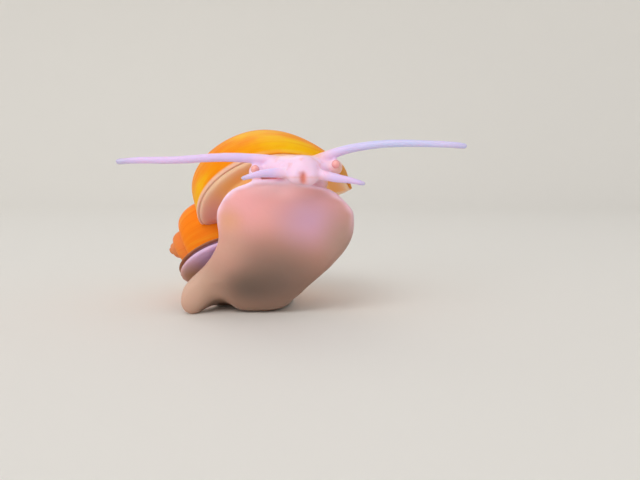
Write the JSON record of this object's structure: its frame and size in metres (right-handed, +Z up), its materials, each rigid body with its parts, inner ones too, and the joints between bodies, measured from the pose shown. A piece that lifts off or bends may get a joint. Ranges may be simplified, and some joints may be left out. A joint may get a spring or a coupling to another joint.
{
  "type": "apple snail",
  "caption": "Life-size museum model of a gold apple snail, reared up on the rear of its foot with its sole to the front and its shell carried behind.",
  "frame": {"origin": "a point on the flat underside of the rear of the foot, at floor level, in the middle of the body", "axes": "+Z up; -Y the way the sole and the snout face; +X towards the shell's base, away from its spire"},
  "size_m": [0.0781, 0.0511, 0.0438],
  "materials": {
    "shell": "smooth gold shell with faint growth lines",
    "flesh": "moist pale pink skin",
    "horn": "brown horny lid",
    "eye": "wet pink eye"
  },
  "bodies": {
    "root": {"shell": "shell", "operculum": "horn", "foot_front": "flesh", "foot_middle": "flesh", "foot_rear": "flesh", "opercular_lobe": "flesh", "body": "flesh", "mantle": "flesh", "head": "flesh", "palp_left": "flesh", "palp_right": "flesh", "tentacle_left_root": "flesh", "tentacle_left_middle": "flesh", "tentacle_left_tip": "flesh", "tentacle_right_root": "flesh", "tentacle_right_middle": "flesh", "tentacle_right_tip": "flesh", "eye_left": "eye", "eye_right": "eye"}
  },
  "joints": []
}
